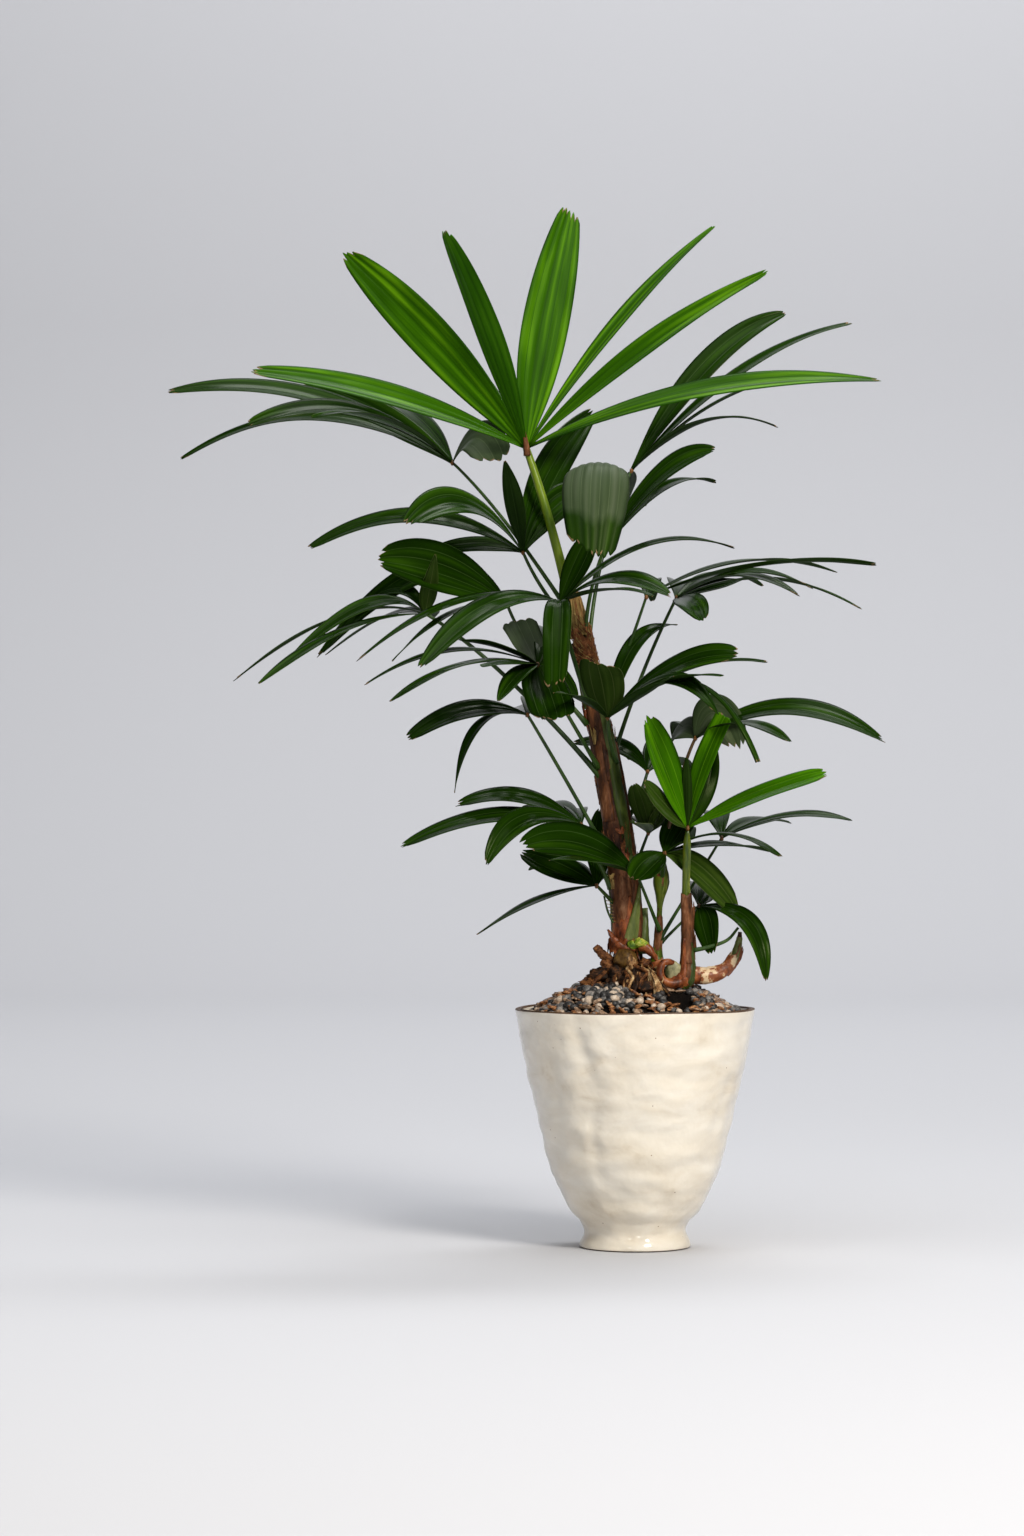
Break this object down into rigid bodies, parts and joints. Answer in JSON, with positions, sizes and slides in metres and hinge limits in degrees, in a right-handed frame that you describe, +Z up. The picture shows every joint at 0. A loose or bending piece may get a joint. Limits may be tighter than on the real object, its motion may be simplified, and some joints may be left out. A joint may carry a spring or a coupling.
{
  "type": "potted lady palm",
  "caption": "Multi-stemmed fan palm in a flared ceramic pot of gravel: a leaning fibrous cane, low suckers and fans of narrow arching leaflets.",
  "frame": {"origin": "centre of the pot's flat underside, which the plant stands on", "axes": "+Z up; +X to the right seen from the front; -Y towards the front"},
  "size_m": [0.6507, 0.4462, 0.9526],
  "materials": {
    "pot": "glossy cream glaze with low throwing ridges and an unglazed brown lip",
    "gravel": "matte loose pebbles in charcoal, tan and rust",
    "cane": "matte bark wrapped in dry brown fibre",
    "young_cane": "satin green cane with brown sheaths",
    "shoot_scale": "satin overlapping scales",
    "leaf_stalk": "satin green",
    "new_leaf": "satin bright green, ribbed along its length",
    "mature_leaf": "glossy dark green, ribbed along its length"
  },
  "bodies": {
    "root": {"pot": "pot", "gravel": "gravel", "stem": "cane", "sucker_near": "young_cane", "sucker_far": "cane", "horn_shoot": "shoot_scale", "frond_01_blade": "new_leaf", "frond_01_stalk": "leaf_stalk", "frond_02_blade": "mature_leaf", "frond_02_stalk": "leaf_stalk", "frond_03_blade": "mature_leaf", "frond_03_stalk": "leaf_stalk", "frond_04_blade": "mature_leaf", "frond_04_stalk": "leaf_stalk", "frond_05_blade": "mature_leaf", "frond_05_stalk": "leaf_stalk", "frond_06_blade": "mature_leaf", "frond_06_stalk": "leaf_stalk", "frond_07_blade": "mature_leaf", "frond_07_stalk": "leaf_stalk", "frond_08_blade": "mature_leaf", "frond_08_stalk": "leaf_stalk", "frond_09_blade": "mature_leaf", "frond_09_stalk": "leaf_stalk", "frond_10_blade": "mature_leaf", "frond_10_stalk": "leaf_stalk", "frond_11_blade": "mature_leaf", "frond_11_stalk": "leaf_stalk", "frond_12_blade": "mature_leaf", "frond_12_stalk": "leaf_stalk", "frond_13_blade": "mature_leaf", "frond_13_stalk": "leaf_stalk", "frond_14_blade": "mature_leaf", "frond_14_stalk": "leaf_stalk", "frond_15_blade": "mature_leaf", "frond_15_stalk": "leaf_stalk", "frond_16_blade": "new_leaf", "frond_17_blade": "mature_leaf", "frond_17_stalk": "leaf_stalk", "frond_18_blade": "mature_leaf", "frond_18_stalk": "leaf_stalk", "frond_19_blade": "mature_leaf", "frond_19_stalk": "leaf_stalk", "frond_20_blade": "mature_leaf", "frond_20_stalk": "leaf_stalk", "frond_21_blade": "mature_leaf", "frond_21_stalk": "leaf_stalk", "frond_22_blade": "mature_leaf", "frond_22_stalk": "leaf_stalk", "frond_23_blade": "mature_leaf", "frond_23_stalk": "leaf_stalk"}
  },
  "joints": []
}
